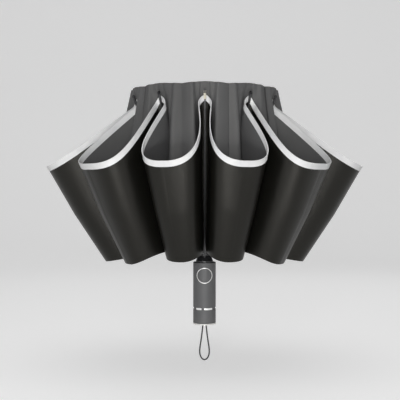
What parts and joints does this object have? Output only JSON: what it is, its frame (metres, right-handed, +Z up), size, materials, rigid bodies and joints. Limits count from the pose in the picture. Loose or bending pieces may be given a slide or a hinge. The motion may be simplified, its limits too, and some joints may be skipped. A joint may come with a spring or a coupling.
{
  "type": "inverted umbrella",
  "caption": "Compact inverted umbrella, half folded: cloth hangs in lobes with a light rim, over a telescopic shaft, a round grip with a push button, and a wrist loop.",
  "frame": {"origin": "centre of the grip's lower end, where the hand holds it up", "axes": "+Z up the shaft from the grip to the crown, -Y towards the button, +X to the right"},
  "size_m": [0.471, 0.3178, 0.4064],
  "materials": {
    "grip": "soft-touch dark grey",
    "dark_plastic": "satin black",
    "light_trim": "light satin",
    "bright_metal": "polished",
    "shaft_steel": "satin",
    "rib_steel": "dark satin",
    "cloth": "fine dark weave, paler on the wet side",
    "reflective": "light reflective tape",
    "cord": "braided dark cord"
  },
  "bodies": {
    "grip": {"grip_shell": "grip", "grip_end_ring": "light_trim", "grip_end_cap": "dark_plastic", "band_plate_short": "bright_metal", "band_plate_long": "bright_metal", "button_ring": "bright_metal", "grip_collar": "dark_plastic", "shaft_lower_tube": "shaft_steel", "loop_pin": "bright_metal"},
    "button": {"button": "grip"},
    "wrist_loop": {"wrist_loop": "cord"},
    "middle_tube": {"shaft_middle_tube": "shaft_steel"},
    "upper_tube": {"shaft_upper_tube": "shaft_steel", "crown": "dark_plastic", "crown_cap": "dark_plastic", "canopy": "cloth", "rim_binding": "reflective"},
    "runner": {"runner": "dark_plastic"},
    "arm_0": {"arm_0": "rib_steel"},
    "middle_rib_0": {"middle_rib_0": "rib_steel"},
    "outer_rib_0": {"outer_rib_0": "rib_steel"},
    "stretcher_0": {"stretcher_0": "rib_steel"},
    "arm_1": {"arm_1": "rib_steel"},
    "middle_rib_1": {"middle_rib_1": "rib_steel"},
    "outer_rib_1": {"outer_rib_1": "rib_steel"},
    "stretcher_1": {"stretcher_1": "rib_steel"},
    "arm_2": {"arm_2": "rib_steel"},
    "middle_rib_2": {"middle_rib_2": "rib_steel"},
    "outer_rib_2": {"outer_rib_2": "rib_steel"},
    "stretcher_2": {"stretcher_2": "rib_steel"},
    "arm_3": {"arm_3": "rib_steel"},
    "middle_rib_3": {"middle_rib_3": "rib_steel"},
    "outer_rib_3": {"outer_rib_3": "rib_steel"},
    "stretcher_3": {"stretcher_3": "rib_steel"},
    "arm_4": {"arm_4": "rib_steel"},
    "middle_rib_4": {"middle_rib_4": "rib_steel"},
    "outer_rib_4": {"outer_rib_4": "rib_steel"},
    "stretcher_4": {"stretcher_4": "rib_steel"},
    "arm_5": {"arm_5": "rib_steel"},
    "middle_rib_5": {"middle_rib_5": "rib_steel"},
    "outer_rib_5": {"outer_rib_5": "rib_steel"},
    "stretcher_5": {"stretcher_5": "rib_steel"},
    "arm_6": {"arm_6": "rib_steel"},
    "middle_rib_6": {"middle_rib_6": "rib_steel"},
    "outer_rib_6": {"outer_rib_6": "rib_steel"},
    "stretcher_6": {"stretcher_6": "rib_steel"},
    "arm_7": {"arm_7": "rib_steel"},
    "middle_rib_7": {"middle_rib_7": "rib_steel"},
    "outer_rib_7": {"outer_rib_7": "rib_steel"},
    "stretcher_7": {"stretcher_7": "rib_steel"},
    "arm_8": {"arm_8": "rib_steel"},
    "middle_rib_8": {"middle_rib_8": "rib_steel"},
    "outer_rib_8": {"outer_rib_8": "rib_steel"},
    "stretcher_8": {"stretcher_8": "rib_steel"},
    "arm_9": {"arm_9": "rib_steel"},
    "middle_rib_9": {"middle_rib_9": "rib_steel"},
    "outer_rib_9": {"outer_rib_9": "rib_steel"},
    "stretcher_9": {"stretcher_9": "rib_steel"}
  },
  "joints": [
    {"name": "button_press", "type": "slide", "parent": "grip", "child": "button", "axis": [0, 1, 0], "range_m": [0, 0.0012], "stiffness_N_per_m": 600},
    {"name": "wrist_loop_swing", "type": "hinge", "parent": "grip", "child": "wrist_loop", "pos_m": [0, 0, 0.0034], "axis": [0, 1, 0], "range_deg": [-30, 30]},
    {"name": "middle_tube_slide", "type": "slide", "parent": "grip", "child": "middle_tube", "axis": [0, 0, 1], "range_m": [0, 0.14]},
    {"name": "upper_tube_slide", "type": "slide", "parent": "middle_tube", "child": "upper_tube", "axis": [0, 0, 1], "range_m": [0, 0.14]},
    {"name": "rib_fold", "type": "hinge", "parent": "upper_tube", "child": "arm_0", "pos_m": [0, -0.014, 0.3], "axis": [-1, 0, 0], "range_deg": [0, 45], "deforming": ["canopy", "rim_binding"]},
    {"name": "middle_rib_0_hinge", "type": "hinge", "parent": "arm_0", "child": "middle_rib_0", "pos_m": [0, -0.101, 0.344], "axis": [-1, 0, 0], "range_deg": [-28.81, 0]},
    {"name": "outer_rib_0_hinge", "type": "hinge", "parent": "middle_rib_0", "child": "outer_rib_0", "pos_m": [0, -0.02, 0.108], "axis": [-1, 0, 0], "range_deg": [0, 1.14]},
    {"name": "stretcher_0_hinge", "type": "hinge", "parent": "runner", "child": "stretcher_0", "pos_m": [0, -0.0135, 0.24], "axis": [-1, 0, 0], "range_deg": [0, 21.21]},
    {"name": "arm_1_hinge", "type": "hinge", "parent": "upper_tube", "child": "arm_1", "pos_m": [0.00823, -0.01133, 0.3], "axis": [-0.809, -0.5878, 0], "range_deg": [0, 45.01]},
    {"name": "middle_rib_1_hinge", "type": "hinge", "parent": "arm_1", "child": "middle_rib_1", "pos_m": [0.05937, -0.08171, 0.344], "axis": [-0.809, -0.5878, 0], "range_deg": [-28.81, 0]},
    {"name": "outer_rib_1_hinge", "type": "hinge", "parent": "middle_rib_1", "child": "outer_rib_1", "pos_m": [0.01176, -0.01618, 0.108], "axis": [-0.809, -0.5878, 0], "range_deg": [0, 1.14]},
    {"name": "stretcher_1_hinge", "type": "hinge", "parent": "runner", "child": "stretcher_1", "pos_m": [0.00793, -0.01092, 0.24], "axis": [-0.809, -0.5878, 0], "range_deg": [0, 21.21]},
    {"name": "arm_2_hinge", "type": "hinge", "parent": "upper_tube", "child": "arm_2", "pos_m": [0.01332, -0.00433, 0.3], "axis": [-0.309, -0.9511, 0], "range_deg": [0, 45.01]},
    {"name": "middle_rib_2_hinge", "type": "hinge", "parent": "arm_2", "child": "middle_rib_2", "pos_m": [0.09606, -0.03121, 0.344], "axis": [-0.309, -0.9511, 0], "range_deg": [-28.81, 0]},
    {"name": "outer_rib_2_hinge", "type": "hinge", "parent": "middle_rib_2", "child": "outer_rib_2", "pos_m": [0.01902, -0.00618, 0.108], "axis": [-0.309, -0.9511, 0], "range_deg": [0, 1.14]},
    {"name": "stretcher_2_hinge", "type": "hinge", "parent": "runner", "child": "stretcher_2", "pos_m": [0.01284, -0.00417, 0.24], "axis": [-0.309, -0.9511, 0], "range_deg": [0, 21.21]},
    {"name": "arm_3_hinge", "type": "hinge", "parent": "upper_tube", "child": "arm_3", "pos_m": [0.01332, 0.00433, 0.3], "axis": [0.309, -0.9511, 0], "range_deg": [0, 45.01]},
    {"name": "middle_rib_3_hinge", "type": "hinge", "parent": "arm_3", "child": "middle_rib_3", "pos_m": [0.09606, 0.03121, 0.344], "axis": [0.309, -0.9511, 0], "range_deg": [-28.81, 0]},
    {"name": "outer_rib_3_hinge", "type": "hinge", "parent": "middle_rib_3", "child": "outer_rib_3", "pos_m": [0.01902, 0.00618, 0.108], "axis": [0.309, -0.9511, 0], "range_deg": [0, 1.14]},
    {"name": "stretcher_3_hinge", "type": "hinge", "parent": "runner", "child": "stretcher_3", "pos_m": [0.01284, 0.00417, 0.24], "axis": [0.309, -0.9511, 0], "range_deg": [0, 21.21]},
    {"name": "arm_4_hinge", "type": "hinge", "parent": "upper_tube", "child": "arm_4", "pos_m": [0.00823, 0.01133, 0.3], "axis": [0.809, -0.5878, 0], "range_deg": [0, 45.01]},
    {"name": "middle_rib_4_hinge", "type": "hinge", "parent": "arm_4", "child": "middle_rib_4", "pos_m": [0.05937, 0.08171, 0.344], "axis": [0.809, -0.5878, 0], "range_deg": [-28.81, 0]},
    {"name": "outer_rib_4_hinge", "type": "hinge", "parent": "middle_rib_4", "child": "outer_rib_4", "pos_m": [0.01176, 0.01618, 0.108], "axis": [0.809, -0.5878, 0], "range_deg": [0, 1.14]},
    {"name": "stretcher_4_hinge", "type": "hinge", "parent": "runner", "child": "stretcher_4", "pos_m": [0.00793, 0.01092, 0.24], "axis": [0.809, -0.5878, 0], "range_deg": [0, 21.21]},
    {"name": "arm_5_hinge", "type": "hinge", "parent": "upper_tube", "child": "arm_5", "pos_m": [0, 0.014, 0.3], "axis": [1, 0, 0], "range_deg": [0, 45.01]},
    {"name": "middle_rib_5_hinge", "type": "hinge", "parent": "arm_5", "child": "middle_rib_5", "pos_m": [0, 0.101, 0.344], "axis": [1, 0, 0], "range_deg": [-28.81, 0]},
    {"name": "outer_rib_5_hinge", "type": "hinge", "parent": "middle_rib_5", "child": "outer_rib_5", "pos_m": [0, 0.02, 0.108], "axis": [1, 0, 0], "range_deg": [0, 1.14]},
    {"name": "stretcher_5_hinge", "type": "hinge", "parent": "runner", "child": "stretcher_5", "pos_m": [0, 0.0135, 0.24], "axis": [1, 0, 0], "range_deg": [0, 21.21]},
    {"name": "arm_6_hinge", "type": "hinge", "parent": "upper_tube", "child": "arm_6", "pos_m": [-0.00823, 0.01133, 0.3], "axis": [0.809, 0.5878, 0], "range_deg": [0, 45.01]},
    {"name": "middle_rib_6_hinge", "type": "hinge", "parent": "arm_6", "child": "middle_rib_6", "pos_m": [-0.05937, 0.08171, 0.344], "axis": [0.809, 0.5878, 0], "range_deg": [-28.81, 0]},
    {"name": "outer_rib_6_hinge", "type": "hinge", "parent": "middle_rib_6", "child": "outer_rib_6", "pos_m": [-0.01176, 0.01618, 0.108], "axis": [0.809, 0.5878, 0], "range_deg": [0, 1.14]},
    {"name": "stretcher_6_hinge", "type": "hinge", "parent": "runner", "child": "stretcher_6", "pos_m": [-0.00793, 0.01092, 0.24], "axis": [0.809, 0.5878, 0], "range_deg": [0, 21.21]},
    {"name": "arm_7_hinge", "type": "hinge", "parent": "upper_tube", "child": "arm_7", "pos_m": [-0.01332, 0.00433, 0.3], "axis": [0.309, 0.9511, 0], "range_deg": [0, 45.01]},
    {"name": "middle_rib_7_hinge", "type": "hinge", "parent": "arm_7", "child": "middle_rib_7", "pos_m": [-0.09606, 0.03121, 0.344], "axis": [0.309, 0.9511, 0], "range_deg": [-28.81, 0]},
    {"name": "outer_rib_7_hinge", "type": "hinge", "parent": "middle_rib_7", "child": "outer_rib_7", "pos_m": [-0.01902, 0.00618, 0.108], "axis": [0.309, 0.9511, 0], "range_deg": [0, 1.14]},
    {"name": "stretcher_7_hinge", "type": "hinge", "parent": "runner", "child": "stretcher_7", "pos_m": [-0.01284, 0.00417, 0.24], "axis": [0.309, 0.9511, 0], "range_deg": [0, 21.21]},
    {"name": "arm_8_hinge", "type": "hinge", "parent": "upper_tube", "child": "arm_8", "pos_m": [-0.01332, -0.00433, 0.3], "axis": [-0.309, 0.9511, 0], "range_deg": [0, 45.01]},
    {"name": "middle_rib_8_hinge", "type": "hinge", "parent": "arm_8", "child": "middle_rib_8", "pos_m": [-0.09606, -0.03121, 0.344], "axis": [-0.309, 0.9511, 0], "range_deg": [-28.81, 0]},
    {"name": "outer_rib_8_hinge", "type": "hinge", "parent": "middle_rib_8", "child": "outer_rib_8", "pos_m": [-0.01902, -0.00618, 0.108], "axis": [-0.309, 0.9511, 0], "range_deg": [0, 1.14]},
    {"name": "stretcher_8_hinge", "type": "hinge", "parent": "runner", "child": "stretcher_8", "pos_m": [-0.01284, -0.00417, 0.24], "axis": [-0.309, 0.9511, 0], "range_deg": [0, 21.21]},
    {"name": "arm_9_hinge", "type": "hinge", "parent": "upper_tube", "child": "arm_9", "pos_m": [-0.00823, -0.01133, 0.3], "axis": [-0.809, 0.5878, 0], "range_deg": [0, 45.01]},
    {"name": "middle_rib_9_hinge", "type": "hinge", "parent": "arm_9", "child": "middle_rib_9", "pos_m": [-0.05937, -0.08171, 0.344], "axis": [-0.809, 0.5878, 0], "range_deg": [-28.81, 0]},
    {"name": "outer_rib_9_hinge", "type": "hinge", "parent": "middle_rib_9", "child": "outer_rib_9", "pos_m": [-0.01176, -0.01618, 0.108], "axis": [-0.809, 0.5878, 0], "range_deg": [0, 1.14]},
    {"name": "stretcher_9_hinge", "type": "hinge", "parent": "runner", "child": "stretcher_9", "pos_m": [-0.00793, -0.01092, 0.24], "axis": [-0.809, 0.5878, 0], "range_deg": [0, 21.21]},
    {"name": "runner_slide", "type": "slide", "parent": "upper_tube", "child": "runner", "axis": [0, 0, 1], "range_m": [0, 0.01561]}
  ],
  "couplings": [
    {"joint": "middle_rib_0_hinge", "follows": "rib_fold", "ratio": -0.64},
    {"joint": "outer_rib_0_hinge", "follows": "rib_fold", "ratio": 0.025},
    {"joint": "stretcher_0_hinge", "follows": "rib_fold", "ratio": 0.471},
    {"joint": "arm_1_hinge", "follows": "rib_fold", "ratio": 1},
    {"joint": "middle_rib_1_hinge", "follows": "rib_fold", "ratio": -0.64},
    {"joint": "outer_rib_1_hinge", "follows": "rib_fold", "ratio": 0.025},
    {"joint": "stretcher_1_hinge", "follows": "rib_fold", "ratio": 0.471},
    {"joint": "arm_2_hinge", "follows": "rib_fold", "ratio": 1},
    {"joint": "middle_rib_2_hinge", "follows": "rib_fold", "ratio": -0.64},
    {"joint": "outer_rib_2_hinge", "follows": "rib_fold", "ratio": 0.025},
    {"joint": "stretcher_2_hinge", "follows": "rib_fold", "ratio": 0.471},
    {"joint": "arm_3_hinge", "follows": "rib_fold", "ratio": 1},
    {"joint": "middle_rib_3_hinge", "follows": "rib_fold", "ratio": -0.64},
    {"joint": "outer_rib_3_hinge", "follows": "rib_fold", "ratio": 0.025},
    {"joint": "stretcher_3_hinge", "follows": "rib_fold", "ratio": 0.471},
    {"joint": "arm_4_hinge", "follows": "rib_fold", "ratio": 1},
    {"joint": "middle_rib_4_hinge", "follows": "rib_fold", "ratio": -0.64},
    {"joint": "outer_rib_4_hinge", "follows": "rib_fold", "ratio": 0.025},
    {"joint": "stretcher_4_hinge", "follows": "rib_fold", "ratio": 0.471},
    {"joint": "arm_5_hinge", "follows": "rib_fold", "ratio": 1},
    {"joint": "middle_rib_5_hinge", "follows": "rib_fold", "ratio": -0.64},
    {"joint": "outer_rib_5_hinge", "follows": "rib_fold", "ratio": 0.025},
    {"joint": "stretcher_5_hinge", "follows": "rib_fold", "ratio": 0.471},
    {"joint": "arm_6_hinge", "follows": "rib_fold", "ratio": 1},
    {"joint": "middle_rib_6_hinge", "follows": "rib_fold", "ratio": -0.64},
    {"joint": "outer_rib_6_hinge", "follows": "rib_fold", "ratio": 0.025},
    {"joint": "stretcher_6_hinge", "follows": "rib_fold", "ratio": 0.471},
    {"joint": "arm_7_hinge", "follows": "rib_fold", "ratio": 1},
    {"joint": "middle_rib_7_hinge", "follows": "rib_fold", "ratio": -0.64},
    {"joint": "outer_rib_7_hinge", "follows": "rib_fold", "ratio": 0.025},
    {"joint": "stretcher_7_hinge", "follows": "rib_fold", "ratio": 0.471},
    {"joint": "arm_8_hinge", "follows": "rib_fold", "ratio": 1},
    {"joint": "middle_rib_8_hinge", "follows": "rib_fold", "ratio": -0.64},
    {"joint": "outer_rib_8_hinge", "follows": "rib_fold", "ratio": 0.025},
    {"joint": "stretcher_8_hinge", "follows": "rib_fold", "ratio": 0.471},
    {"joint": "arm_9_hinge", "follows": "rib_fold", "ratio": 1},
    {"joint": "middle_rib_9_hinge", "follows": "rib_fold", "ratio": -0.64},
    {"joint": "outer_rib_9_hinge", "follows": "rib_fold", "ratio": 0.025},
    {"joint": "stretcher_9_hinge", "follows": "rib_fold", "ratio": 0.471},
    {"joint": "runner_slide", "follows": "rib_fold", "m_per_rad": 0.019863}
  ]
}
